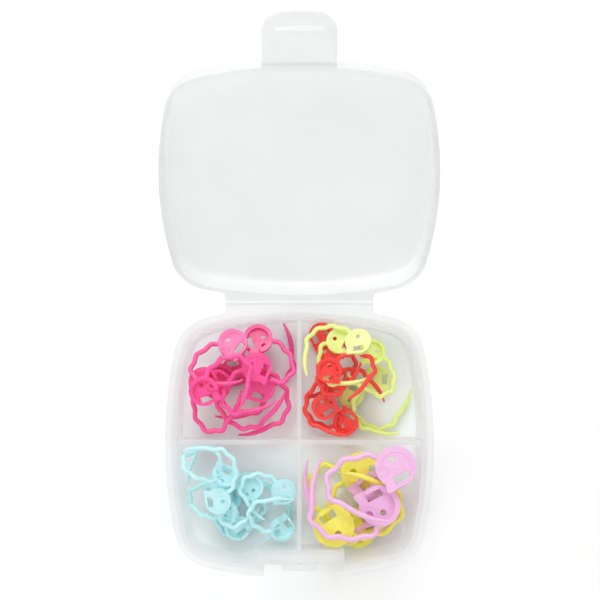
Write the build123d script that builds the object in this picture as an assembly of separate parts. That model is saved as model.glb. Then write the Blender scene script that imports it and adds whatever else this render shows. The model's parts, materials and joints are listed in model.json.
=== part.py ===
from build123d import *
import math
import os

import numpy as np

# A boxed set of locking stitch markers. A frosted case has four compartments, a lid on a thin moulded
# hinge and a latch flap on another. Its markers lie in loose piles, one or two colours a compartment.
# The origin is the middle of the tray's underside. +Z is up, the latch faces -Y and the hinge +Y.
# All lengths are in mm and all angles in degrees.

# The case seen from above: four outward bows that meet in round corners
case_width = 70.0
case_depth = 71.0
side_bow_radius = 115.0
end_bow_radius = 98.0
corner_radius = 11.0

# The tray: a drafted tub with a flange that the lid rests on and a lip that stands inside the lid
parting_height = 14.6
flange_reach = 1.7
flange_thickness = 1.3
lip_height = 1.4
tray_wall = 1.3
tray_draft = 0.9
tray_floor = 1.2
tray_foot_radius = 2.0
cavity_foot_radius = 1.0
divider_thickness = 1.2
divider_height = 15.0

# The latch block at the tray's front, with a recess that is open to the front and a catch bar in it
block_width = 23.5
block_depth = 7.3
block_wall = 1.2
recess_width = 18.6
recess_back = 3.9
recess_floor = 1.0
catch_width = 9.2
catch_height = 1.5
catch_clearance = 0.15
catch_reach = 3.0
gate_mark_radius = 0.45
gate_mark_height = 0.15

# The lid and its thin moulded hinge
lid_height = 5.6
lid_wall = 1.3
lid_top = 1.1
lid_draft = 0.6
lid_edge_radius = 2.4
lid_seam = 0.15
hinge_width = 38.5
hinge_behind = 1.0
hinge_web_length = 1.2
web_thickness = 0.35
crease_share = 0.25
gusset_radius = 1.4
lid_open_angle = 141.0

# The latch flap, which carries on from the lid's front edge and folds down into the recess
flap_width = 17.9
flap_length = 14.0
flap_thickness = 1.2
flap_crown = 1.0
flap_corner_radius = 5.4
flap_base = 0.25
flap_web_length = 1.0
flap_rib_at = 9.1
flap_rib_width = 1.1
flap_rib_length = 11.4
flap_rib_height = 1.9

# A marker at its large size, seen from its front with the snout towards -Y and the bow on its +X side
head_radius = 5.4
head_thickness = 2.4
plate_thickness = 0.8
rim_width = 1.45
snout_reach = 7.6
snout_round = 0.6
mouth_angle = 208.0
neck_angle = 287.0
neck_cut_angle = 308.0
neck_depth = 0.4
mouth_wall = 1.05
mouth_gap_at = 3.3
window_length = 4.3
window_width = 2.1
eye_diameter = 1.7
eye_right = 1.5
eye_up = 1.5
curl_line = 0.75
curl_drop = 0.25
curl_right = 3.1
curl_down = 2.0
curl_radius = 1.45
curl_angles = (30.0, -45.0, -120.0, -195.0, 90.0)
curl_inner_angles = (90.0, 0.0, -90.0)
back_relief = 0.15
back_line = 0.45
strand_diameter = 1.5
strand_clearance = 0.05
pin_tip_diameter = 0.7
root_inset = 0.6
root_angle = 10.0
neck_run = 2.7
scallop_run = 3.3
pin_lead = 1.8
pin_middle = 5.4
pin_taper = 6.1
valley_turn = 22.0
pin_turns = (13.0, 19.0)
crest_radius_share = 0.60
valley_radius_share = 0.37
flex_length = 0.9
flex_from_crest = 0.11

# The other markers are the large ones drawn smaller, but their strands thin less than they shrink
strand_shrink_share = 0.5
colour_size_shares = {"lilac": 1.0, "yellow": 1.0, "pink": 0.72, "red": 0.63, "lime": 0.63, "aqua": 0.63}

# How far each crest of the bow bends, from the neck on: sprung is a marker as moulded
bow_bends = {
    "sprung": (27.0, 30.0, 55.0, 60.0),
    "hooked": (64.0, 14.0, 36.0, 56.0),
    "loose": (22.0, 28.0, 36.0, 44.0),
}
clasp_close_angle = 27.0
clasp_steps = 6

# The air left between two markers, or between a marker and the floor
rest_gap = 0.2
sample_round = 0.3
sample_step = 0.55

# How a marker is let down: the leans and moves that are tried, and the height map of what lies below
most_lean = 24.0
lean_shares = (0.0, 0.15, 0.3, 0.5, 0.75, 1.0)
lean_direction_step = 30.0
wander = 1.2
wander_weight = 0.8
top_weight = 0.8
wander_shares = ((0, 0), (1, 0), (-1, 0), (0, 1), (0, -1))
wall_rounds = 5
wall_slack = 0.05
outside_weight = 20.0
turn_step = 30.0
map_cell = 0.3

# Where each marker lies, lowest first: place as shares of the case's half width and half depth, turn,
# face up, bow, and how far it leans towards which side (0 is +X and 90 is +Y)
back_left_shares = {
    "pink_marker_9": (-0.50, 0.62, 150.0, "back", "loose", 0.0, 0.0),
    "pink_marker_10": (-0.60, 0.46, 0.0, "front", "sprung", 0.0, 0.0),
    "pink_marker_1": (-0.33, 0.53, -30.0, "front", "loose", 0.0, 0.0),
    "pink_marker_2": (-0.64, 0.66, -60.0, "back", "sprung", 24.0, 100.0),
    "pink_marker_3": (-0.28, 0.74, -20.0, "front", "sprung", 0.0, 0.0),
    "pink_marker_4": (-0.62, 0.42, 100.0, "back", "loose", 0.0, 0.0),
    "pink_marker_5": (-0.72, 0.44, 70.0, "back", "sprung", 0.0, 0.0),
    "pink_marker_6": (-0.32, 0.55, 23.0, "back", "sprung", 6.0, 300.0),
    "pink_marker_7": (-0.51, 0.78, 9.0, "back", "sprung", 6.0, 240.0),
    "pink_marker_8": (-0.71, 0.38, 68.0, "front", "sprung", 6.0, 200.0),
}
back_right_shares = {
    "lime_marker_1": (0.41, 0.33, 110.0, "back", "loose", 0.0, 0.0),
    "red_marker_1": (0.17, 0.76, -20.0, "front", "loose", 0.0, 0.0),
    "lime_marker_2": (0.59, 0.43, 38.0, "back", "loose", 0.0, 0.0),
    "red_marker_2": (0.35, 0.13, 188.0, "front", "sprung", 0.0, 0.0),
    "red_marker_3": (0.24, 0.46, 30.0, "back", "loose", 0.0, 0.0),
    "red_marker_4": (0.19, 0.25, 79.0, "front", "loose", 0.0, 0.0),
    "lime_marker_3": (0.55, 0.66, -40.0, "front", "sprung", 12.0, 210.0),
    "red_marker_5": (0.23, 0.67, 60.0, "back", "sprung", 8.0, 270.0),
    "lime_marker_4": (0.30, 0.74, 18.0, "back", "hooked", 6.0, 230.0),
    "red_marker_6": (0.22, 0.53, 40.0, "front", "sprung", 0.0, 0.0),
    "lime_marker_5": (0.44, 0.75, -41.0, "back", "loose", 4.0, 60.0),
}
front_left_shares = {
    "aqua_marker_10": (-0.40, -0.52, 0.0, "front", "loose", 0.0, 0.0),
    "aqua_marker_11": (-0.58, -0.42, 120.0, "back", "sprung", 0.0, 0.0),
    "aqua_marker_1": (-0.62, -0.66, 60.0, "back", "sprung", 0.0, 0.0),
    "aqua_marker_2": (-0.28, -0.62, 90.0, "front", "loose", 0.0, 0.0),
    "aqua_marker_3": (-0.73, -0.34, -100.0, "back", "sprung", 0.0, 0.0),
    "aqua_marker_4": (-0.73, -0.56, -160.0, "front", "sprung", 14.0, 200.0),
    "aqua_marker_5": (-0.37, -0.31, -90.0, "front", "sprung", 0.0, 0.0),
    "aqua_marker_6": (-0.58, -0.26, -160.0, "front", "sprung", 42.0, 20.0),
    "aqua_marker_7": (-0.73, -0.17, -130.0, "back", "loose", 20.0, 180.0),
    "aqua_marker_8": (-0.14, -0.38, -43.0, "back", "sprung", 14.0, 90.0),
    "aqua_marker_9": (-0.13, -0.66, 172.0, "front", "sprung", 6.0, 330.0),
}
front_right_shares = {
    "yellow_marker_1": (0.44, -0.70, 160.0, "front", "sprung", 0.0, 0.0),
    "yellow_marker_2": (0.60, -0.36, 40.0, "back", "sprung", 0.0, 0.0),
    "lilac_marker_1": (0.49, -0.38, -93.0, "front", "hooked", 8.0, 90.0),
    "yellow_marker_3": (0.26, -0.63, 166.0, "back", "sprung", 8.0, 240.0),
    "lilac_marker_2": (0.60, -0.47, -107.0, "front", "hooked", 9.0, 60.0),
    "lilac_marker_3": (0.735, -0.135, -16.0, "back", "sprung", 8.0, 60.0),
}
piles_shares = {
    (-1, 1): back_left_shares,
    (1, 1): back_right_shares,
    (-1, -1): front_left_shares,
    (1, -1): front_right_shares,
}
# One marker of each colour, high in its pile, whose bow is free to close
clasp_markers = (
    "pink_marker_8", "red_marker_6", "lime_marker_3", "aqua_marker_9", "yellow_marker_3", "lilac_marker_3")

overrun = 5.0


def raised(shape, height):
    return Pos(0, 0, height) * shape


def bow_crossing(inset):
    """Where a side bow and an end bow cross when both are drawn in by inset."""
    side_centre = case_width / 2 - side_bow_radius
    end_centre = case_depth / 2 - end_bow_radius
    side_radius = side_bow_radius - inset
    end_radius = end_bow_radius - inset
    span = math.hypot(side_centre, end_centre)
    along = (side_radius**2 - end_radius**2 + span**2) / (2 * span)
    across = math.sqrt(side_radius**2 - along**2)
    unit_x = -side_centre / span
    unit_y = end_centre / span
    return side_centre + along * unit_x - across * unit_y, along * unit_y + across * unit_x


def case_outline(inset):
    """The case's bowed square, drawn in from the rim's edge by inset."""
    x, y = bow_crossing(inset)
    half_width = case_width / 2 - inset
    half_depth = case_depth / 2 - inset
    bows = [
        ThreePointArc((x, -y), (half_width, 0), (x, y)),
        ThreePointArc((x, y), (0, half_depth), (-x, y)),
        ThreePointArc((-x, y), (-half_width, 0), (-x, -y)),
        ThreePointArc((-x, -y), (0, -half_depth), (x, -y)),
    ]
    face = make_face(bows)
    return fillet(face.vertices(), corner_radius - inset)


def drafted(low_inset, high_inset, low, high):
    """A solid between two outlines of the case."""
    return loft([raised(case_outline(low_inset), low), raised(case_outline(high_inset), high)], ruled=True)


def foot_rounded(solid, radius):
    return fillet(solid.edges().group_by(Axis.Z)[0], radius)


def block(x_size, y_low, y_high, z_low, z_high):
    """A box centred on X, between two places on Y and two heights."""
    shape = Box(x_size, y_high - y_low, z_high - z_low)
    return Pos(0, (y_low + y_high) / 2, (z_low + z_high) / 2) * shape


# Places that the case's pieces share
rim_back = case_depth / 2
rim_front = -case_depth / 2
hinge_y = rim_back + hinge_behind
lip_top = parting_height + lip_height
lid_base = parting_height + lid_seam
flap_hinge_y = rim_front - flap_base - flap_web_length / 2
flap_hinge_z = lid_base + web_thickness / 2


def ear(width, end):
    """A straight ear from the case's middle out to a place on Y."""
    return Pos(0, end / 2) * Rectangle(width, abs(end))


def strapped_outline():
    """The case's outline with the hinge's strap behind it and a gusset at each side of the strap."""
    joined = case_outline(0) + ear(hinge_width, hinge_y - hinge_web_length / 2)
    corners = joined.vertices().sort_by(Axis.Y)[-4:-2]
    return fillet(corners, gusset_radius)


def latch_recess():
    recess_y = rim_front + recess_back
    return block(recess_width, rim_front - overrun, recess_y, recess_floor, lip_top + overrun)


def case_tray():
    """The deep lower half: tub, flange, lip, cross of dividers, latch block and catch bar."""
    wall_inset = flange_reach + tray_wall
    tub = foot_rounded(drafted(flange_reach + tray_draft, flange_reach, 0, lip_top), tray_foot_radius)
    flange_base = parting_height - flange_thickness
    flange = raised(extrude(strapped_outline(), flange_thickness), flange_base)
    cavity = drafted(wall_inset + tray_draft, wall_inset, tray_floor, lip_top)
    cavity = foot_rounded(cavity, cavity_foot_radius)
    reach = case_width + case_depth
    dividers = block(divider_thickness, -reach, reach, 0, divider_height)
    dividers += block(reach, -divider_thickness / 2, divider_thickness / 2, 0, divider_height)
    block_back = rim_front + block_depth
    latch_block = block(block_width, rim_front - overrun, block_back, 0, lip_top)
    recess_y = rim_front + recess_back
    core_width = block_width - 2 * block_wall
    core = block(core_width, recess_y + block_wall, block_back - block_wall, -overrun, parting_height)
    tray = tub + flange - (cavity - dividers - latch_block) - latch_recess() - core
    underside = flap_hinge_z - flap_rib_at + catch_clearance
    catch = block(catch_width, recess_y - catch_reach, recess_y, underside, underside + catch_height)
    mark_y = recess_y + block_wall / 2
    mark = Pos(0, mark_y, lip_top + gate_mark_height / 2) * Cylinder(gate_mark_radius, gate_mark_height)
    return tray + catch + mark


def opened(shape):
    """Swings a piece of the closed lid about the hinge to where the lid stands open."""
    to_axis = Pos(0, hinge_y, parting_height)
    return to_axis * Rot(-lid_open_angle, 0, 0) * to_axis.inverse() * shape


def case_lid():
    """The shallow upper half, drawn closed on the tray and then opened."""
    shell = drafted(0, lid_draft, lid_base, lid_base + lid_height)
    shell = fillet(shell.edges().group_by(Axis.Z)[-1], lid_edge_radius)
    inner = drafted(lid_wall, lid_wall + lid_draft, lid_base, lid_base + lid_height - lid_top)
    inner = fillet(inner.edges().group_by(Axis.Z)[-1], lid_edge_radius - lid_top)
    strap = extrude(strapped_outline(), flange_thickness)
    neck = extrude(ear(flap_width, flap_hinge_y + flap_web_length / 2), flap_thickness)
    return opened(shell + raised(strap, lid_base) + raised(neck, lid_base) - inner)


def hinge_web():
    """The thin web between tray and lid, bent as far as the lid stands from flat."""
    raise_angle = 180 - lid_open_angle
    half = hinge_web_length / 2
    axis_z = parting_height
    cos_a = math.cos(math.radians(raise_angle))
    sin_a = math.sin(math.radians(raise_angle))
    near = [(hinge_y - half, axis_z - depth) for depth in (0, web_thickness)]
    far = []
    for depth in (lid_seam, lid_seam + web_thickness):
        far.append((hinge_y + half * cos_a + depth * sin_a, axis_z + half * sin_a - depth * cos_a))
    crease = (hinge_y, axis_z - crease_share * web_thickness)
    under = (hinge_y + web_thickness / 2, axis_z - (1 + crease_share) * web_thickness)
    points = [near[0], crease, far[0], far[1], under, near[1]]
    profile = make_face(Polyline([(0, y, z) for y, z in points], close=True))
    return Pos(-hinge_width / 2, 0, 0) * extrude(profile, hinge_width, dir=(1, 0, 0))


def flap_web():
    """The thin web between lid and latch flap."""
    web = block(flap_width, flap_hinge_y - flap_web_length / 2, flap_hinge_y + flap_web_length / 2,
                lid_base, lid_base + web_thickness)
    return opened(web)


def latch_flap():
    """The latch flap with its snap rib, drawn level with the closed lid's rim and then opened."""
    start = flap_hinge_y - flap_web_length / 2
    end = flap_hinge_y - flap_length
    shoulder = end + flap_crown
    half = flap_width / 2
    sides = Polyline((-half, shoulder), (-half, start), (half, start), (half, shoulder))
    crown = ThreePointArc((half, shoulder), (0, end), (-half, shoulder))
    outline = make_face([sides, crown])
    corners = [v for v in outline.vertices() if v.Y < start - flap_crown]
    outline = fillet(corners, flap_corner_radius)
    plate = raised(extrude(outline, flap_thickness), lid_base)
    rib_near = flap_hinge_y - flap_rib_at
    rib = block(flap_rib_length, rib_near - flap_rib_width, rib_near, lid_base - flap_rib_height, lid_base)
    return opened(plate + rib)


def polar(radius, angle):
    return (radius * math.cos(math.radians(angle)), radius * math.sin(math.radians(angle)))


def mouth_frame(scale):
    """The snout's tip, the way back along the mouth's edge, and the way in from that edge."""
    tip = Vector(0, -snout_reach * scale)
    corner = Vector(*polar(head_radius * scale, mouth_angle))
    along = (corner - tip).normalized()
    inward = Vector(-along.Y, along.X) * -1
    return tip, along, inward


def head_outline(scale):
    """A round head that runs out into a snout."""
    radius = head_radius * scale
    tip = (0, -snout_reach * scale)
    mouth = polar(radius, mouth_angle)
    neck = polar(radius - neck_depth * scale, neck_angle)
    snout = make_face(Polyline(mouth, tip, neck, (0, 0), close=True))
    outline = Circle(radius) + snout
    lowest = outline.vertices().sort_by(Axis.Y)[0]
    return fillet([lowest], snout_round * scale)


def curl_lines(scale):
    """The curl beside the neck: an outer arc off the rim that turns in on itself."""
    centre = Vector(curl_right, -curl_down) * scale
    outer = curl_radius * scale
    inner = outer / 2
    spots = [centre + Vector(*polar(outer, angle)) for angle in curl_angles]
    shift = Vector(0, outer - inner)
    ends = [centre + shift + Vector(*polar(inner, angle)) for angle in curl_inner_angles]
    first = ThreePointArc(spots[0], spots[1], spots[2])
    second = ThreePointArc(spots[2], spots[3], spots[4])
    third = ThreePointArc(ends[0], ends[1], ends[2])
    return [first, second, third]


def head(scale):
    """The head: a back plate, a rim round it, the mouth's wall, window, eye and curl."""
    radius = head_radius * scale
    thickness = head_thickness * scale
    plate = plate_thickness * scale
    base = -thickness / 2
    outline = head_outline(scale)
    tip, along, inward = mouth_frame(scale)
    gap_end = tip + along * (mouth_gap_at * scale)
    wall = mouth_wall * scale
    spare = overrun * scale
    window_middle = (tip + along * ((mouth_gap_at + window_length / 2) * scale)
                     + inward * ((mouth_wall + window_width / 2) * scale))
    low_zone = make_face(Polyline(
        gap_end - inward * spare,
        gap_end + inward * wall,
        window_middle,
        Vector(*polar(radius - 2 * rim_width * scale, neck_angle)),
        Vector(*polar(radius + spare, neck_cut_angle)),
        tip + Vector(0, -spare),
        close=True))
    band = make_face(Polyline(
        gap_end - inward * spare,
        gap_end + inward * wall,
        tip + along * (2 * radius) + inward * wall,
        tip + along * (2 * radius) - inward * spare,
        close=True))
    full = extrude(outline, thickness)
    ring = full - Cylinder(radius - rim_width * scale, 3 * thickness) - extrude(low_zone, thickness)
    curl = extrude(trace(curl_lines(scale), curl_line * scale), thickness - curl_drop * scale)
    solid = extrude(outline, plate) + ring + (full & extrude(band, thickness)) + (full & curl)
    solid = raised(solid, base)
    depth = back_relief * scale
    back_arc = CenterArc((0, 0), radius - rim_width * scale, 0, mouth_angle)
    for line in (curl_lines(scale), [back_arc]):
        solid += raised(extrude(trace(line, back_line * scale), 2 * depth), base - depth)
    window_turn = math.degrees(math.atan2(along.Y, along.X))
    window = Pos(window_middle) * Rot(0, 0, window_turn) * Box(
        window_length * scale, window_width * scale, 2 * thickness)
    eye = Pos(eye_right * scale, eye_up * scale) * Cylinder(eye_diameter * scale / 2, 2 * thickness)
    return solid - window - eye


def bow_corners(bow, scale):
    """Corners of the bow's centreline from the neck to where the pin starts, and the last heading."""
    x, y = polar((head_radius - root_inset) * scale, root_angle)
    heading = root_angle
    corners = [(x, y)]
    runs = [neck_run + root_inset] + [scallop_run] * 7 + [pin_lead]
    turns = []
    for bend in bow_bends[bow]:
        turns += [-(bend + valley_turn), valley_turn]
    for run, turn in zip(runs, turns + [0]):
        step = polar(run * scale, heading)
        x += step[0]
        y += step[1]
        corners.append((x, y))
        heading += turn
    return corners, heading


def arc_ahead(start, heading, length, turn):
    """An arc that starts along heading and turns clockwise by turn over its length."""
    radius = length / math.radians(turn)
    chord = 2 * radius * math.sin(math.radians(turn / 2))
    half_chord = 2 * radius * math.sin(math.radians(turn / 4))
    middle = Vector(*start) + Vector(*polar(half_chord, heading - turn / 4))
    end = Vector(*start) + Vector(*polar(chord, heading - turn / 2))
    return ThreePointArc(start, middle, end), (end.X, end.Y), heading - turn


def strand_radius(scale):
    return strand_diameter * scale**strand_shrink_share / 2


def strand_level(scale):
    return (plate_thickness + strand_clearance - head_thickness / 2) * scale + strand_radius(scale)


def corner_radii(count, scale, first):
    """Fillet radii for count corners: crests and valleys in turn, a crest first if first is 0."""
    shares = (crest_radius_share, valley_radius_share)
    return [scallop_run * scale * shares[(first + i) % 2] for i in range(count)]


def tube(path, scale):
    section = Plane(origin=path @ 0, z_dir=path % 0) * Circle(strand_radius(scale))
    return sweep(section, path=path)


def pin_end(taper, scale):
    """The pin's last stretch, which tapers along its centreline to a round tip."""
    thick = Plane(origin=taper @ 0, z_dir=taper % 0) * Circle(strand_radius(scale))
    thin = Plane(origin=taper @ 1, z_dir=taper % 1) * Circle(pin_tip_diameter * scale / 2)
    cone = sweep([thick, thin], path=taper, multisection=True)
    return cone + Pos(taper @ 1) * Sphere(pin_tip_diameter * scale / 2)


def spots_along(line, step):
    """Points along a line, about a step apart, both ends included."""
    count = max(2, math.ceil(line.length / step) + 1)
    return [tuple(line @ t) for t in np.linspace(0, 1, count)]


def head_spots(scale):
    """Points all over the head's two faces and round its edge."""
    inset = sample_round * scale
    step = 2 * sample_step * scale
    level = head_thickness * scale / 2 - inset
    spots = []
    edge = head_radius * scale - inset
    for ring in np.linspace(0, edge, math.ceil(edge / step) + 1):
        count = max(1, math.ceil(2 * math.pi * ring / step))
        for angle in np.linspace(0, 360, count, endpoint=False):
            spots.append(polar(ring, angle))
    tip = (0, -snout_reach * scale + inset)
    for side in (polar(edge, mouth_angle), polar(edge, neck_angle)):
        spots += [spot[:2] for spot in spots_along(Line(tip, side), step)]
    edge_level = level - back_relief * scale
    return [(x, y, z, inset + back_relief * scale) for x, y in spots for z in (-level, 0, edge_level)]


def closing(spots, pivot, scale):
    """The pin's points at each step of its way to the clasp."""
    swung = []
    for turn in np.linspace(0, math.radians(clasp_close_angle), clasp_steps):
        for x, y, z, r in spots:
            dx = x - pivot[0]
            dy = y - pivot[1]
            swung.append((pivot[0] + dx * math.cos(turn) + dy * math.sin(turn),
                          pivot[1] - dx * math.sin(turn) + dy * math.cos(turn), z, r))
    return swung


def between(a, b, distance):
    """The point at a distance from a on the way to b."""
    start = Vector(*a)
    return tuple(start + (Vector(*b) - start).normalized() * distance)[:2]


def marker_lines(bow, scale, clasp):
    """The centrelines of a marker's bow: fixed part, web at the clasp's bend, moving part and taper."""
    corners, heading = bow_corners(bow, scale)
    middle, spot, heading = arc_ahead(corners[-1], heading, pin_middle * scale, pin_turns[0])
    taper = arc_ahead(spot, heading, pin_taper * scale, pin_turns[1])[0]
    if not clasp:
        whole = FilletPolyline(*corners, radius=corner_radii(len(corners) - 2, scale, 0))
        return [*whole.edges(), middle], None, [], taper
    flex = flex_length * scale
    crest_turn = bow_bends[bow][-1] + valley_turn
    crest_set = scallop_run * scale * crest_radius_share * math.tan(math.radians(crest_turn / 2))
    from_crest = crest_set + flex_from_crest * scale
    start = between(corners[-3], corners[-4], from_crest + flex)
    end = between(corners[-3], corners[-4], from_crest)
    fixed = FilletPolyline(*corners[:-3], start, radius=corner_radii(len(corners) - 4, scale, 0))
    moving = FilletPolyline(end, *corners[-3:], radius=corner_radii(2, scale, 0))
    return [*fixed.edges()], Line(start, end), [*moving.edges(), middle], taper


def marker_pieces(bow, scale, clasp):
    """One marker's solids in its own frame, by the ending of their names."""
    fixed, web, moving, taper = marker_lines(bow, scale, clasp)
    level = strand_level(scale)
    if not clasp:
        return {"": head(scale) + raised(tube(Wire(fixed), scale) + pin_end(taper, scale), level)}
    return {
        "": head(scale) + raised(tube(Wire(fixed), scale), level),
        "_flex": raised(tube(web, scale), level),
        "_pin": raised(tube(Wire(moving), scale) + pin_end(taper, scale), level),
    }


def marker_cover(bow, scale, clasp):
    """Round points that cover a marker, with its pin at each step of its way to the clasp."""
    fixed, web, moving, taper = marker_lines(bow, scale, clasp)
    level = strand_level(scale)
    radius = strand_radius(scale)
    step = sample_step * scale

    def along(lines):
        return [(x, y, level, radius) for line in lines for x, y, z in spots_along(line, step)]

    if not clasp:
        return np.array(head_spots(scale) + along(fixed + [taper]))
    pin = closing(along(moving + [taper]), tuple(web @ 0.5), scale)
    return np.array(head_spots(scale) + along(fixed + [web]) + pin)


def turned(spots, turn, face, lean, toward):
    """Round points turned and leaned as their marker is."""
    def about_z(angle):
        c, s = math.cos(math.radians(angle)), math.sin(math.radians(angle))
        return np.array([[c, -s, 0], [s, c, 0], [0, 0, 1]])

    def about_y(angle):
        c, s = math.cos(math.radians(angle)), math.sin(math.radians(angle))
        return np.array([[c, 0, s], [0, 1, 0], [-s, 0, c]])

    flip = 180 if face == "back" else 0
    spin = about_z(toward) @ about_y(lean) @ about_z(turn - toward) @ about_y(flip)
    return spots[:, :3] @ spin.T


def way_inside(spots, radii, sides):
    """How far a marker has to move to clear its compartment's walls, and what is left after that."""
    signs = np.array(sides)
    u, v = (spots[:, :2] * signs).T
    shift = np.zeros(2)
    room = radii + rest_gap
    inset = flange_reach + tray_wall + tray_draft
    half_width = case_width / 2
    half_depth = case_depth / 2
    corner = np.array(bow_crossing(corner_radius))
    block_out = block_width / 2 + room
    for _ in range(wall_rounds):
        pu = u + shift[0]
        pv = v + shift[1]
        low_u = np.max(divider_thickness / 2 + room - pu)
        low_v = np.max(divider_thickness / 2 + room - pv)
        side = np.hypot(pu - half_width + side_bow_radius, pv) - side_bow_radius + inset + room
        end = np.hypot(pu, pv - half_depth + end_bow_radius) - end_bow_radius + inset + room
        beyond = (pu > corner[0]) & (pv > corner[1])
        round_off = np.hypot(pu - corner[0], pv - corner[1]) - corner_radius + inset + room
        round_off = max(0, np.max(np.where(beyond, round_off, 0)))
        if sides[1] < 0:
            past = np.where(pu < block_out, pv - half_depth + block_depth + room, 0)
            end = np.maximum(end, past)
        over_u = max(0, np.max(side))
        over_v = max(0, np.max(end))
        shift += (max(0, low_u) - over_u, max(0, low_v) - over_v)
        shift -= round_off / 2
        left = max(low_u, low_v, over_u, over_v, round_off)
        if left < wall_slack:
            break
    return shift * signs, max(0, left - wall_slack)


map_count = math.ceil(max(case_width, case_depth) / 2 / map_cell)


def map_cells(places, origin):
    cells = np.floor((places - origin) / map_cell).astype(int)
    return np.clip(cells, 0, map_count - 1)


def raise_map(ride, origin, spots, reach):
    """Raises a height map to where a point rides that keeps its reach from each spot."""
    steps = np.arange(-math.ceil(reach.max() / map_cell), math.ceil(reach.max() / map_cell) + 1)
    offsets = np.stack(np.meshgrid(steps, steps), axis=-1).reshape(-1, 2)
    cells = map_cells(spots[:, None, :2] + offsets[None] * map_cell, origin)
    middles = origin + (cells + 0.5) * map_cell
    flat = np.hypot(*np.moveaxis(middles - spots[:, None, :2], -1, 0))
    rise = np.sqrt(np.maximum(reach[:, None]**2 - flat**2, 0))
    top = np.where(flat < reach[:, None], spots[:, None, 2] + rise, 0)
    np.maximum.at(ride, (cells[..., 0], cells[..., 1]), top)


def exact_lift(spots, radii, below):
    """How far a marker has to be lifted to clear the floor and the markers below it."""
    lift = float(np.max(tray_floor + rest_gap - (spots[:, 2] - radii)))
    for other, other_radii in below:
        flat = np.hypot(spots[:, None, 0] - other[None, :, 0], spots[:, None, 1] - other[None, :, 1])
        reach = radii[:, None] + other_radii[None, :] + rest_gap
        near = flat < reach
        rise = np.sqrt(np.where(near, reach**2 - flat**2, 0))
        need = np.where(near, other[None, :, 2] + rise - spots[:, None, 2], -np.inf)
        lift = max(lift, float(need.max()))
    return lift


def let_down(cover, wish, sides, rides, origin):
    """Tries small moves and leans about the wished place and keeps the one that lies lowest."""
    x, y, turn, face, lean, toward = wish
    radii = cover[:, 3]
    wished = lean * np.array([math.cos(math.radians(toward)), math.sin(math.radians(toward))])
    best = None
    for lean_share in lean_shares:
        directions = [0] if lean_share == 0 else np.arange(0, 360, lean_direction_step)
        for direction in directions:
            tip = wished + lean_share * most_lean * np.array(
                [math.cos(math.radians(direction)), math.sin(math.radians(direction))])
            tip_lean = float(np.hypot(*tip))
            tip_toward = math.degrees(math.atan2(tip[1], tip[0]))
            level = turned(cover, turn, face, tip_lean, tip_toward)
            for x_share, y_share in wander_shares:
                move = np.array([x + x_share * wander, y + y_share * wander])
                spots = level + [*move, 0]
                shift, outside = way_inside(spots, radii, sides)
                spots[:, :2] += shift
                lift = -math.inf
                for radius, ride in rides.items():
                    same = radii == radius
                    cells = map_cells(spots[same, :2], origin)
                    lift = max(lift, float(np.max(ride[cells[:, 0], cells[:, 1]] - spots[same, 2])))
                away = math.hypot(*(move + shift - (x, y)))
                height = float(spots[:, 2].mean()) + top_weight * float(spots[:, 2].max())
                cost = (1 + top_weight) * lift + height + wander_weight * away + outside_weight * outside
                if best is None or cost < best[0]:
                    best = (cost, outside, spots, move + shift, turn, tip_lean, tip_toward)
    return best


def settle(cover, wish, sides, rides, origin):
    """Lets a marker down as wished, or turned on until it fits between the walls."""
    tries = []
    for more in np.arange(0, 360, turn_step):
        turned_wish = (*wish[:2], wish[2] + more, *wish[3:])
        tries.append(let_down(cover, turned_wish, sides, rides, origin))
        if tries[-1][1] == 0:
            break
    return min(tries, key=lambda tried: tried[0])[2:]


def marker_places():
    """Every marker let down on its pile in turn: kind, place and the round points that cover it."""
    covers = {}
    placed = {}
    for sides, pile in piles_shares.items():
        origin = np.array([min(0, sides[0]) * case_width, min(0, sides[1]) * case_depth]) / 2
        below = []
        rides = {}
        for name, (x_share, y_share, turn, face, bow, lean, toward) in pile.items():
            scale = colour_size_shares[name.split("_")[0]]
            kind = (bow, scale, name in clasp_markers)
            if kind not in covers:
                covers[kind] = marker_cover(*kind)
            cover = covers[kind]
            radii = cover[:, 3]
            for radius in np.unique(radii):
                if radius not in rides:
                    rides[radius] = np.full((map_count, map_count), tray_floor + rest_gap + radius)
            wish = (x_share * case_width / 2, y_share * case_depth / 2, turn, face, lean, toward)
            spots, middle, turn, lean, toward = settle(cover, wish, sides, rides, origin)
            lift = exact_lift(spots, radii, below)
            spots[:, 2] += lift
            below.append((spots, radii))
            for radius, ride in rides.items():
                raise_map(ride, origin, spots, radii + radius + rest_gap)
            placed[name] = kind, (*middle, lift), turn, face, lean, toward, spots, radii
    return placed


def marker_nodes(placed):
    """The markers' solids where they lie, and the line about which each clasp closes."""
    kinds = {}
    nodes = {}
    clasp_lines = {}
    for name, (kind, middle, turn, face, lean, toward, spots, radii) in placed.items():
        if kind not in kinds:
            kinds[kind] = marker_pieces(*kind)
        flip = Rot(0, 180 if face == "back" else 0, 0)
        place = Pos(*middle) * Rot(0, 0, toward) * Rot(0, lean, 0) * Rot(0, 0, turn - toward) * flip
        for suffix, piece in kinds[kind].items():
            nodes[name + suffix] = place * piece
        if name in clasp_markers:
            pivot = marker_lines(*kind)[1] @ 0.5
            pin_plane = Plane(place * Pos(pivot.X, pivot.Y, strand_level(kind[1])))
            clasp_lines[name] = (tuple(pin_plane.origin), tuple(pin_plane.z_dir))
        low, high = np.min(spots[:, 2] - radii), np.max(spots[:, 2] + radii)
        print(f"{name} lies from {low:.1f} to {high:.1f} and leans {lean:.0f}")
    return nodes, clasp_lines


nodes = {
    "case_tray": case_tray(),
    "lid_hinge_web": hinge_web(),
    "case_lid": case_lid(),
    "flap_hinge_web": flap_web(),
    "latch_flap": latch_flap(),
}
marker_solids, clasp_lines = marker_nodes(marker_places())
nodes.update(marker_solids)

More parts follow.
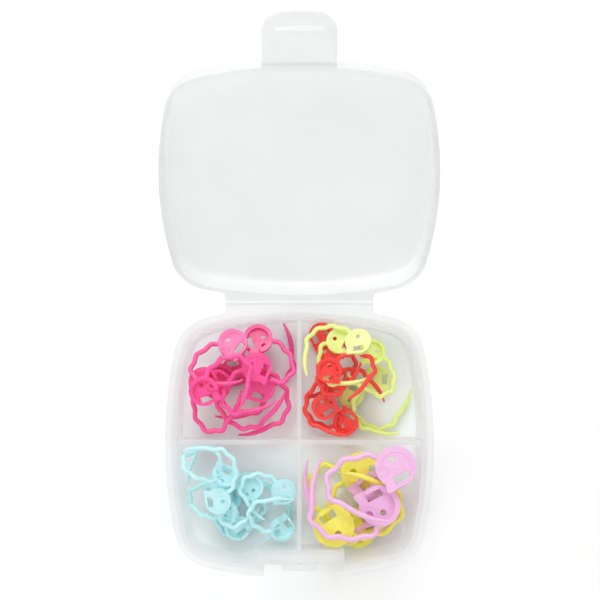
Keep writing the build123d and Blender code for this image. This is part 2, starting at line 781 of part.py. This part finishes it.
os.makedirs("parts", exist_ok=True)
for name, shape in nodes.items():
    export_step(shape, f"parts/{name}.step")
for name, (spot, axis) in clasp_lines.items():
    print(name, "closes about", [round(v, 3) for v in spot], "along", [round(v, 4) for v in axis])
print(len(nodes), "nodes")
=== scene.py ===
# %% [markdown]
# The object is a small case of locking stitch markers: a frosted tray with four compartments, its lid
# thrown back, and thirty-eight little coloured markers lying in loose piles. Every solid comes in ready
# made, in its exact place and size, as a fixed frame. The shapes could be drawn again here, but they would
# drift from the frame that the joints move. So they are kept, and this script gives them their finishes.
# What it models itself is the plastic that bends: the two hinge skins of the case and the short bends of
# the markers that close.

# %% Load the frame
import json
import math

import bmesh
import bpy
from mathutils import Matrix, Vector


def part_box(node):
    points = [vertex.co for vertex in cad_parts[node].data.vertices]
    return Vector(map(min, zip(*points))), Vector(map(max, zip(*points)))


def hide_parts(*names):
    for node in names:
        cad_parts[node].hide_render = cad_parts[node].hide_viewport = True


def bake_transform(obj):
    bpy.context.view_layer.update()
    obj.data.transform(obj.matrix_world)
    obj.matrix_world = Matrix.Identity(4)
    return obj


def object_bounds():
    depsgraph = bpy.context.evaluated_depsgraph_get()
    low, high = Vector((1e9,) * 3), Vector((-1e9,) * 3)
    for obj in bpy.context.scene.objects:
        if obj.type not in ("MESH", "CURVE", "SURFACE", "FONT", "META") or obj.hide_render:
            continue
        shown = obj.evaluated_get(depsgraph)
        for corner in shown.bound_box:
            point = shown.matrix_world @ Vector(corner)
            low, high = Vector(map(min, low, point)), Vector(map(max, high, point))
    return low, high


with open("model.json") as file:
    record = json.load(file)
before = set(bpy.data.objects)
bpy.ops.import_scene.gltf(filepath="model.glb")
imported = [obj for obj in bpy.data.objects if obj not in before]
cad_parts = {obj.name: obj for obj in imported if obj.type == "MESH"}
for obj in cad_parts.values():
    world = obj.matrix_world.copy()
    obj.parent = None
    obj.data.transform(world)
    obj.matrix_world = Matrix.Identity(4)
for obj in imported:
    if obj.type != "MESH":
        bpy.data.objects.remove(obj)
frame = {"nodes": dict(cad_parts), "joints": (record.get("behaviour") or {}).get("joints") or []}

cad_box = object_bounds()
mm = 0.001
nodes = frame["nodes"]
joints = {joint["name"]: joint for joint in frame["joints"]}
cad_size = [round((high - low) / mm, 1) for low, high in zip(*cad_box)]
print(len(nodes), "solids in a box of", cad_size, "mm")

# %% [markdown]
# The photograph looks straight down on the open case, from about half a metre, with a narrow lens, so that
# the raised lid looks only a little larger than it is. An orthographic camera would be simpler, but it
# would hide how the tray's walls lean away from the middle, so a perspective camera stands where the real
# one stood.

# %% Camera
camera_spot = (0.16 * mm, 37.1 * mm, 521 * mm)
view_angle = 17.56        # degrees from the left edge of the picture to the right one
nearest_seen = 10 * mm
camera_data = bpy.data.cameras.new("straight_down")
camera_data.sensor_fit = "HORIZONTAL"
camera_data.angle = math.radians(view_angle)
camera_data.clip_start = nearest_seen
camera = bpy.data.objects.new("straight_down", camera_data)
camera.location = camera_spot
bpy.context.scene.collection.objects.link(camera)
bpy.context.scene.camera = camera
bpy.context.scene.view_settings.view_transform = "Standard"
print("lens", round(camera_data.lens, 1), "mm")

# %% [markdown]
# Colours are written as sRGB hex, the way a colour picker shows them, but shaders add and multiply light,
# so they need linear values. One function turns the one into the other. Nodes could be made one line at a
# time, but a finish has a dozen of them, so one small function adds a node with its settings and its links.
# Some inputs share a name, and are given by number: of a Mix node 0 is the factor, 2 and 3 are the numbers
# that it mixes, and 6 and 7 the colours.

# %% Colour and node helpers
def linear(hex_colour):
    """Linear red, green, blue and a full alpha from an sRGB hex colour."""
    shares = [int(hex_colour[i:i + 2], 16) / 255 for i in (1, 3, 5)]
    return [s / 12.92 if s <= 0.04045 else ((s + 0.055) / 1.055) ** 2.4 for s in shares] + [1.0]


def add(tree, kind, settings, links=None):
    """Adds a node. Settings are its input values or its own properties, links are what feeds its inputs."""
    node = tree.nodes.new(kind)
    for name, value in settings.items():
        if isinstance(name, int) or name in node.inputs:
            node.inputs[name].default_value = value
        else:
            setattr(node, name, value)
    for name, source in (links or {}).items():
        tree.links.new(source, node.inputs[name])
    return node


def new_finish(name):
    """An empty material and its node tree."""
    finish = bpy.data.materials.new(name)
    finish.use_nodes = True
    finish.node_tree.nodes.clear()
    return finish, finish.node_tree


print("mid grey is", round(linear("#808080")[0], 3), "in linear light")

# %% [markdown]
# The case lies on white paper that the photographer's light has washed out, with only a faint shadow in
# front of the tray. More light would wash the case out too, so the paper itself is told to look white to
# the camera and in reflections, while it takes light and shadow like any sheet. Near the case that lift is
# tiny, so that the shadow stays, and it grows with the distance, where the lamps no longer reach.

# %% Sheet of paper
paper_size = 4.0          # metres, far wider than the picture
paper_drop = 0.05 * mm    # just under the case, so that no two faces coincide
paper_mesh = bpy.data.meshes.new("paper")
shape = bmesh.new()
bmesh.ops.create_grid(shape, x_segments=1, y_segments=1, size=paper_size / 2)
bmesh.ops.translate(shape, verts=shape.verts, vec=(0, 0, -paper_drop))
shape.to_mesh(paper_mesh)
shape.free()
paper = bpy.data.objects.new("paper", paper_mesh)
bpy.context.scene.collection.objects.link(paper)
print("paper", paper_size, "m across")

# %% [markdown]
# Uncoated paper is matt, and its pulp makes its white drift a little, which a noise between two whites
# gives. One plain white would be simpler, but around the case it would look like no sheet at all.

# %% White paper
pulp_noise = {"Scale": 1 / (24 * mm), "Detail": 4.0}    # flocks of 24 mm, coarser than real ones, to show
paper_matt = 0.5
paper_tones = linear("#F7F7F6"), linear("#FAFAFA")
near_lift = 0.04          # the little that its white lacks near the case
far_lift = 0.55           # and what it lacks where only the room's own light falls on it
near_edge = 0.25          # metres from the case where the one starts to turn into the other
far_edge = 1.20

finish, tree = new_finish("white_paper")
path = add(tree, "ShaderNodeLightPath", {})
seen_or_mirrored = add(tree, "ShaderNodeMath", {"operation": "MAXIMUM"},
                       {0: path.outputs["Is Camera Ray"], 1: path.outputs["Is Glossy Ray"]})
seen = add(tree, "ShaderNodeMath", {"operation": "MAXIMUM"},
           {0: seen_or_mirrored.outputs[0], 1: path.outputs["Is Transmission Ray"]})
place = add(tree, "ShaderNodeTexCoord", {}).outputs["Object"]
pulp = add(tree, "ShaderNodeTexNoise", pulp_noise, {"Vector": place})
tone = add(tree, "ShaderNodeMix", {"data_type": "RGBA", 6: paper_tones[0], 7: paper_tones[1]},
           {0: pulp.outputs["Fac"]})
sheet = add(tree, "ShaderNodeBsdfDiffuse", {"Roughness": paper_matt}, {"Color": tone.outputs[2]})
distance = add(tree, "ShaderNodeVectorMath", {"operation": "LENGTH"}, {0: place})
lack = add(tree, "ShaderNodeMapRange",
           {"From Min": near_edge, "From Max": far_edge, "To Min": near_lift, "To Max": far_lift},
           {"Value": distance.outputs["Value"]})
lift = add(tree, "ShaderNodeMath", {"operation": "MULTIPLY"}, {0: seen.outputs[0], 1: lack.outputs[0]})
glow = add(tree, "ShaderNodeEmission", {"Color": linear("#FFFFFF")}, {"Strength": lift.outputs[0]})
both = add(tree, "ShaderNodeAddShader", {}, {0: sheet.outputs[0], 1: glow.outputs[0]})
add(tree, "ShaderNodeOutputMaterial", {}, {"Surface": both.outputs[0]})
paper_mesh.materials.append(finish)
print("its white is lifted by", near_lift, "near the case and", far_lift, "far from it")

# %% [markdown]
# A white room stands around the case and fills the shadows from all sides. A picture of a studio would give
# livelier reflections, but frosted plastic blurs them away, so an even white is enough. The camera sees the
# room as pure white, while it lights the case at a lower strength, so that the lamps still model the forms.

# %% White room
room_light = 0.59         # how strongly it lights the case
room_seen = 1.0           # and how bright the camera sees it
world = bpy.data.worlds.new("white_room")
bpy.context.scene.world = world
world.use_nodes = True
tree = world.node_tree
tree.nodes.clear()
path = add(tree, "ShaderNodeLightPath", {})
seen = add(tree, "ShaderNodeMath", {"operation": "MAXIMUM"},
           {0: path.outputs["Is Camera Ray"], 1: path.outputs["Is Transmission Ray"]})
strength = add(tree, "ShaderNodeMix", {2: room_light, 3: room_seen}, {0: seen.outputs[0]})
air = add(tree, "ShaderNodeBackground", {"Color": linear("#FFFFFF")}, {"Strength": strength.outputs[0]})
add(tree, "ShaderNodeOutputWorld", {}, {"Surface": air.outputs[0]})
print("room light", room_light)

# %% [markdown]
# The shadow falls in front of the tray and the markers carry broad soft highlights, so the light came from
# large soft panels above, the strongest of them behind the case. Small lamps would give hard glints and
# shadows. Three big area lamps make the soft edges, and the white room fills the rest.

# %% Soft lamps
lamp_target = Vector((0, 30 * mm, 10 * mm))
lamps = {    # where each stands, how wide it is, in metres, and its power in watts
    "back_panel": ((-0.08, 0.80, 0.80), 0.50, 5.3),
    "side_panel": ((-0.70, -0.10, 0.80), 0.50, 1.9),
    "front_panel": ((0.55, -0.50, 0.90), 0.70, 1.1),
}
for name, (spot, side, power) in lamps.items():
    lamp_data = bpy.data.lights.new(name, "AREA")
    lamp_data.size = side
    lamp_data.energy = power
    lamp = bpy.data.objects.new(name, lamp_data)
    lamp.location = spot
    lamp.rotation_euler = (lamp_target - Vector(spot)).to_track_quat("-Z", "Y").to_euler()
    bpy.context.scene.collection.objects.link(lamp)
print(len(lamps), "lamps,", sum(power for spot, side, power in lamps.values()), "W")

# %% [markdown]
# All the plastic here is thin enough for light to pass. A solid shader alone would look like paint and throw
# black shadows. So a share of Translucent lets the light that falls on the far side glow through, and a
# lamp's light is let through by a Transparent shader, whose colour is what the shadow shows.

# %% Light through thin plastic
def let_through(tree, plastic, tone, normal, glow_share, veil):
    """Ends a finish: a share of the light glows through, and a lamp's light passes the veil."""
    through = add(tree, "ShaderNodeBsdfTranslucent", {},
                  {"Color": tone.outputs[2], "Normal": normal.outputs[0]})
    milk = add(tree, "ShaderNodeMixShader", {0: glow_share}, {1: plastic.outputs[0], 2: through.outputs[0]})
    path = add(tree, "ShaderNodeLightPath", {})
    shader = add(tree, "ShaderNodeMixShader", {},
                 {0: path.outputs["Is Shadow Ray"], 1: milk.outputs[0], 2: veil.outputs[0]})
    add(tree, "ShaderNodeOutputMaterial", {}, {"Surface": shader.outputs[0]})


noise_middle = {"From Min": 0.3, "From Max": 0.7}    # where nearly all values of a noise lie
print("noise is read from", *noise_middle.values())

# %% [markdown]
# The case is natural polypropylene, injection moulded in a tool with a fine matt grain. The melt leaves slow
# waves in it, the tool its grain, and dust and nicks a few dots. A painted picture could hold all this, but
# noise in real sizes fits every wall without a seam.

# %% Marks of the mould
# Slow waves of 14 mm, a matt grain of 0.3 mm, which is coarser than the real one, because that wouldn't
# show, and cells of 7 mm that hold at most one dot each
flow_noise = {"Scale": 1 / (14 * mm), "Detail": 3.0, "Distortion": 0.6}
grain_noise = {"Scale": 1 / (0.3 * mm), "Detail": 2.0}
dust_spacing = 7 * mm
dot_edge = {"From Min": 0.018, "From Max": 0.03, "To Min": 1.0, "To Max": 0.0}    # in shares of a cell
dot_strength = 0.45
dot_tone = linear("#8F9294")
flow_relief = {"Strength": 0.5, "Distance": 0.05 * mm}
grain_relief = {"Strength": 0.35, "Distance": 0.012 * mm}
edge_samples = 4          # rays that feel for an edge nearby
case_edge = 0.25 * mm     # how far the mould rounds an edge
print("dots of up to", round(2 * dot_edge["From Max"] * dust_spacing / mm, 2), "mm")

# %% [markdown]
# The plastic is milky: light gets in, scatters and comes out softened, so paper and markers show through it
# as a blur. Clear glass would look wet, and plain white paint would look like card. A Principled shader that
# is part rough transmission and part pale scattering body gives the frost, and a thin smooth coat gives the
# skin its gloss. Its veil is nearly white, because a thin milky wall throws only a faint shadow. The hinge
# skins are the same plastic, but where it is thin and has been bent it turns whiter and stops being clear.

# %% Frosted polypropylene
case_ior = 1.49
milk_depth = 1.5 * mm     # how far light wanders inside the wall
milk_spread = (1.0, 1.0, 1.0)
case_glow = 0.3           # how much of the light on one side of a wall comes out as a glow on the other
case_gloss = {"Coat Weight": 0.5, "Coat Roughness": 0.12}
case_veil = linear("#EEF0F0")


def frosted(name, clear_share, depth_share, rough, tones):
    """Milky polypropylene. clear_share goes through as a blur, depth_share scatters inside the body."""
    finish, tree = new_finish(name)
    place = {"Vector": add(tree, "ShaderNodeTexCoord", {}).outputs["Object"]}
    flow = add(tree, "ShaderNodeTexNoise", flow_noise, place)
    grain = add(tree, "ShaderNodeTexNoise", grain_noise, place)
    dust = add(tree, "ShaderNodeTexVoronoi", {"Scale": 1 / dust_spacing}, place)
    dot = add(tree, "ShaderNodeMapRange", dot_edge, {"Value": dust.outputs["Distance"]})
    body = add(tree, "ShaderNodeMix", {"data_type": "RGBA", 6: linear(tones[0]), 7: linear(tones[1])},
               {0: flow.outputs["Fac"]})
    speck = add(tree, "ShaderNodeMath", {"operation": "MULTIPLY", 1: dot_strength}, {0: dot.outputs[0]})
    tone = add(tree, "ShaderNodeMix", {"data_type": "RGBA", 7: dot_tone},
               {0: speck.outputs[0], 6: body.outputs[2]})
    matt = add(tree, "ShaderNodeMapRange", {**noise_middle, "To Min": rough[0], "To Max": rough[1]},
               {"Value": flow.outputs["Fac"]})
    edge = add(tree, "ShaderNodeBevel", {"samples": edge_samples, "Radius": case_edge})
    waves = add(tree, "ShaderNodeBump", flow_relief,
                {"Height": flow.outputs["Fac"], "Normal": edge.outputs[0]})
    relief = add(tree, "ShaderNodeBump", grain_relief,
                 {"Height": grain.outputs["Fac"], "Normal": waves.outputs[0]})
    plastic = add(tree, "ShaderNodeBsdfPrincipled",
                  {"IOR": case_ior, "Transmission Weight": clear_share, "Subsurface Weight": depth_share,
                   "Subsurface Radius": milk_spread, "Subsurface Scale": milk_depth, **case_gloss},
                  {"Base Color": tone.outputs[2], "Roughness": matt.outputs[0],
                   "Normal": relief.outputs[0]})
    veil = add(tree, "ShaderNodeBsdfTransparent", {"Color": case_veil})
    let_through(tree, plastic, tone, relief, case_glow, veil)
    return finish


case_finish = frosted("frosted_polypropylene", clear_share=0.5, depth_share=0.4, rough=(0.30, 0.42),
                      tones=("#F2F3F3", "#FAFBFB"))
skin_finish = frosted("flexed_polypropylene", clear_share=0.1, depth_share=0.0, rough=(0.25, 0.35),
                      tones=("#FAFBFB", "#FFFFFF"))
print("two finishes for the case:", case_finish.name, skin_finish.name)

# %% [markdown]
# The markers are small nylon mouldings, dyed through in six colours. One flat colour would look like paper,
# because a moulding is never quite even. So each colour drifts between two tones, the gloss varies from
# place to place, and the edges are rounded as the mould leaves them.

# %% Dyes and unevenness
dyes = {    # the lighter and the deeper tone of each
    "pink": ("#FF6CB0", "#FE52A4"),
    "red": ("#FF564E", "#FF443E"),
    "lime": ("#F4FFA6", "#EAFB90"),
    "aqua": ("#DCFEFF", "#C8F8FC"),
    "lilac": ("#FBD0EF", "#F4C2EA"),
    "yellow": ("#FFFE7C", "#FFF862"),
}
# The dye drifts over 5 mm, and the gloss over 0.6 mm, which is coarser than the real one, so that it shows
drift_noise = {"Scale": 1 / (5 * mm), "Detail": 2.0}
gloss_noise = {"Scale": 1 / (0.6 * mm), "Detail": 3.0}
gloss_relief = {"Strength": 0.4, "Distance": 0.02 * mm}
gloss_rough = {"To Min": 0.18, "To Max": 0.32}
marker_edge = 0.12 * mm   # how far the mould rounds an edge
print(len(dyes), "dyes:", *dyes)

# %% [markdown]
# Nylon has a soft gloss from a polished mould and lets a little light through. A shader for solid paint
# would be quicker, but the piles would look dark and their shadows grey. So some of the light scatters
# inside a strand, some glows through it, and a lamp's light comes out of it tinted, which is why the white
# floor under the piles looks pink, green or blue.

# %% Dyed nylon
nylon_ior = 1.53
dye_scatter = 0.2         # how much of a strand's body scatters light inside
dye_depth = 0.6 * mm      # how far light wanders there
dye_spread = (1.0, 0.8, 0.8)
tint_share = 0.14         # how much light a strand passes on to its far side
shade_share = 0.42        # how much of a lamp's light each side of a strand takes away


def dyed_nylon(name, light, deep):
    """Glossy moulded nylon, dyed through, whose colour drifts between two tones."""
    finish, tree = new_finish(name)
    place = {"Vector": add(tree, "ShaderNodeTexCoord", {}).outputs["Object"]}
    drift = add(tree, "ShaderNodeTexNoise", drift_noise, place)
    skin = add(tree, "ShaderNodeTexNoise", gloss_noise, place)
    tone = add(tree, "ShaderNodeMix", {"data_type": "RGBA", 6: linear(light), 7: linear(deep)},
               {0: drift.outputs["Fac"]})
    gloss = add(tree, "ShaderNodeMapRange", {**noise_middle, **gloss_rough}, {"Value": skin.outputs["Fac"]})
    edge = add(tree, "ShaderNodeBevel", {"samples": edge_samples, "Radius": marker_edge})
    relief = add(tree, "ShaderNodeBump", gloss_relief,
                 {"Height": skin.outputs["Fac"], "Normal": edge.outputs[0]})
    plastic = add(tree, "ShaderNodeBsdfPrincipled",
                  {"IOR": nylon_ior, "Subsurface Weight": dye_scatter, "Subsurface Radius": dye_spread,
                   "Subsurface Scale": dye_depth},
                  {"Base Color": tone.outputs[2], "Roughness": gloss.outputs[0],
                   "Normal": relief.outputs[0]})
    shade = add(tree, "ShaderNodeMix", {"data_type": "RGBA", 0: shade_share, 7: linear("#000000")},
                {6: tone.outputs[2]})
    veil = add(tree, "ShaderNodeBsdfTransparent", {}, {"Color": shade.outputs[2]})
    let_through(tree, plastic, tone, relief, tint_share, veil)
    return finish


marker_finishes = {colour: dyed_nylon(colour + "_nylon", *tones) for colour, tones in dyes.items()}
print("finishes for the markers:", *[finish.name for finish in marker_finishes.values()])

# %% [markdown]
# Each solid already has a slot for its finish, and the first word of a marker's name is its colour. The
# finish is put in the slot and the mesh isn't touched. A remade mesh could be smoother, but this way what
# the joints move stays exactly what was measured.

# %% Finishes on the solids
def coat(piece, finish):
    """Puts a finish in every material slot of a piece."""
    for slot in piece.material_slots:
        slot.material = finish


for name, piece in nodes.items():
    colour = name.split("_")[0]
    coat(piece, marker_finishes.get(colour, case_finish))
print(len(nodes), "solids coated")

# %% [markdown]
# Thin plastic that folds needs a mesh with cuts to fold at. A long box could be cut afterwards, but it is
# plainer to push one small face forward step by step, which leaves a row of cuts on its way. Such a thin
# box also has sharp edges that must stay sharp, or its flat faces would be shaded as if they were round.

# %% Strip and piece helpers
def pushed(shape, front, step, steps):
    """Pushes the faces of a strip's front forward in equal steps and gives the new front."""
    for _ in range(steps):
        made = bmesh.ops.extrude_face_region(shape, geom=front)
        front = [part for part in made["geom"] if isinstance(part, bmesh.types.BMFace)]
        moved = list({vert for face in front for vert in face.verts})
        bmesh.ops.translate(shape, verts=moved, vec=step)
    return front


sharp_angle = math.radians(40)


def link_piece(name, shape, finish):
    """Makes an object of a finished bmesh. Its faces point outwards and are smooth up to sharp_angle."""
    bmesh.ops.recalc_face_normals(shape, faces=shape.faces)
    for face in shape.faces:
        face.smooth = True
    mesh = bpy.data.meshes.new(name)
    shape.to_mesh(mesh)
    shape.free()
    mesh.set_sharp_from_angle(angle=sharp_angle)
    mesh.materials.append(finish)
    piece = bpy.data.objects.new(name, mesh)
    bpy.context.scene.collection.objects.link(piece)
    return piece


tuck = 0.2 * mm           # how far the ends of a soft piece reach into the solids that it joins
print("ends reach", tuck / mm, "mm into the solids")

# %% [markdown]
# Lid and tray are one moulding, joined by a skin of polypropylene a third of a millimetre thick that folds
# when the lid turns, and the flap hangs on the lid in the same way. The frame holds each skin as a stiff
# bar. It could ride on one side, but then it would tear away from the other. The lid stands raised in the
# photograph, so its skin runs flat out of the tray's rim and then bends up to the lid in an arc.

# %% Hinge skins
skin_thickness = 0.35 * mm
sink = 0.01 * mm          # how far a skin lies below the solids' faces, so that no two faces coincide
flat_cuts = 8
bend_cuts = 14
lid_stands = math.radians(39.0)    # how steeply the lid stands up from the table


def hinge_skin(name, node, joint, width, half, heading, lid_turn=0, seam=0):
    """A skin that starts half its length before a hinge's axis and bends up by lid_turn on its way."""
    axis = Vector(joints[joint]["pos_m"])
    forward = Vector((0, math.cos(heading), math.sin(heading)))
    up = Vector((0, -math.sin(heading), math.cos(heading)))
    turn = heading + lid_turn
    onward = Vector((0, math.cos(turn), math.sin(turn)))
    # How far the skin rises and runs, and the arc that turns it from its first direction to its last
    depth = seam + skin_thickness / 2
    rise = half * math.sin(lid_turn) + skin_thickness / 2 - depth * math.cos(lid_turn)
    run = half * (1 + math.cos(lid_turn)) + depth * math.sin(lid_turn)
    radius = rise / (1 - math.cos(lid_turn)) if lid_turn else 0
    run -= radius * math.sin(lid_turn)
    # The end of the strip, a small upright face
    shape = bmesh.new()
    bmesh.ops.create_grid(shape, x_segments=1, y_segments=1, size=0.5)    # half of a side, so 1 m square
    bmesh.ops.scale(shape, verts=shape.verts, vec=(width, skin_thickness, 1))
    upright = Matrix.Rotation(math.radians(90) + heading, 3, "X")
    bmesh.ops.rotate(shape, verts=shape.verts, matrix=upright)
    # A skin that bends hangs from its hinge's axis, and a straight one has the axis in its middle
    level = up * (skin_thickness / 2 + sink if lid_turn else sink)
    bmesh.ops.translate(shape, verts=shape.verts, vec=axis - forward * (half + tuck) - level)
    # Pushed out of the first solid, along the flat part, round the bend and into the second solid
    front = pushed(shape, shape.faces[:], forward * tuck, 1)
    front = pushed(shape, front, forward * run / flat_cuts, flat_cuts)
    if lid_turn:
        centre = axis - forward * (half - run) - level + up * radius
        bent = bmesh.ops.spin(shape, geom=front, cent=centre, axis=(1, 0, 0), angle=lid_turn,
                              steps=bend_cuts)
        front = [part for part in bent["geom_last"] if isinstance(part, bmesh.types.BMFace)]
    pushed(shape, front, onward * tuck, 1)
    piece = link_piece(name, shape, skin_finish)
    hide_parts(node)
    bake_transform(piece)
    print(name, "has", len(piece.data.polygons), "faces, bend radius", round(radius / mm, 2), "mm")


hinge_skin("lid_hinge_skin", "lid_hinge_web", "lid_hinge",
           width=38.5 * mm, half=0.6 * mm, heading=0, lid_turn=lid_stands, seam=0.15 * mm)
hinge_skin("flap_hinge_skin", "flap_hinge_web", "flap_hinge",
           width=17.9 * mm, half=0.5 * mm, heading=lid_stands)

# %% [markdown]
# A locking marker closes because its bow bends a little at one place until the pin snaps over the head. On
# one marker of each colour that place is free to move. A rigid pin would crack away from its bow, so a short
# round piece with many rings is modelled there, reaching a little into both. Its place could be written down
# for each marker, but the solid that it replaces tells it: most of that solid's surface that faces one way
# is on its flat ends, and these say which way it runs.

# %% Finding a bend
def bend_of(marker):
    """The middle, direction, half length and radius of a marker's stiff bend, from bow to pin."""
    stiff = nodes[marker + "_flex"].data
    low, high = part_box(marker + "_flex")
    middle = (low + high) / 2
    areas = {}
    for face in stiff.polygons:
        way = tuple(round(part, 3) for part in face.normal)
        areas[way] = areas.get(way, 0) + face.area
    along = Vector(max(areas, key=areas.get)).normalized()
    pin = min(nodes[marker + "_pin"].data.vertices, key=lambda vert: (vert.co - middle).length).co
    if along.dot(pin - middle) < 0:
        along.negate()
    offsets = [vert.co - middle for vert in stiff.vertices]
    half = max(offset.dot(along) for offset in offsets)
    radius = max((offset - along * offset.dot(along)).length for offset in offsets)
    return middle, along, half, radius


bent_markers = [name.removesuffix("_flex") for name in sorted(nodes) if name.endswith("_flex")]
print("markers that close:", *bent_markers)

# %% [markdown]
# A cylinder has only its two ends, so its long edges are cut to give it rings. A spun circle would make the
# same piece with more lines of script. It is a hair thicker than the strand, so that no two faces coincide.

# %% Bends of the closing markers
ring_points = 24
ring_cuts = 9
swell = 0.006 * mm


def clasp_bend(marker):
    """A short round piece with rings in place of a marker's stiff bend."""
    middle, along, half, radius = bend_of(marker)
    shape = bmesh.new()
    depth = 2 * (half + tuck)
    bmesh.ops.create_cone(shape, cap_ends=True, segments=ring_points, radius1=radius + swell,
                          radius2=radius + swell, depth=depth)
    long_edges = [edge for edge in shape.edges if edge.calc_length() > depth / 2]
    bmesh.ops.subdivide_edges(shape, edges=long_edges, cuts=ring_cuts, use_grid_fill=True)
    bmesh.ops.rotate(shape, verts=shape.verts, matrix=along.to_track_quat("Z", "Y").to_matrix())
    bmesh.ops.translate(shape, verts=shape.verts, vec=middle)
    colour = marker.split("_")[0]
    piece = link_piece(marker + "_bend", shape, marker_finishes[colour])
    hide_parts(marker + "_flex")
    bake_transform(piece)
    print(piece.name, "radius", round(radius / mm, 2), "mm, length", round(2 * half / mm, 2), "mm")


for marker in bent_markers:
    clasp_bend(marker)
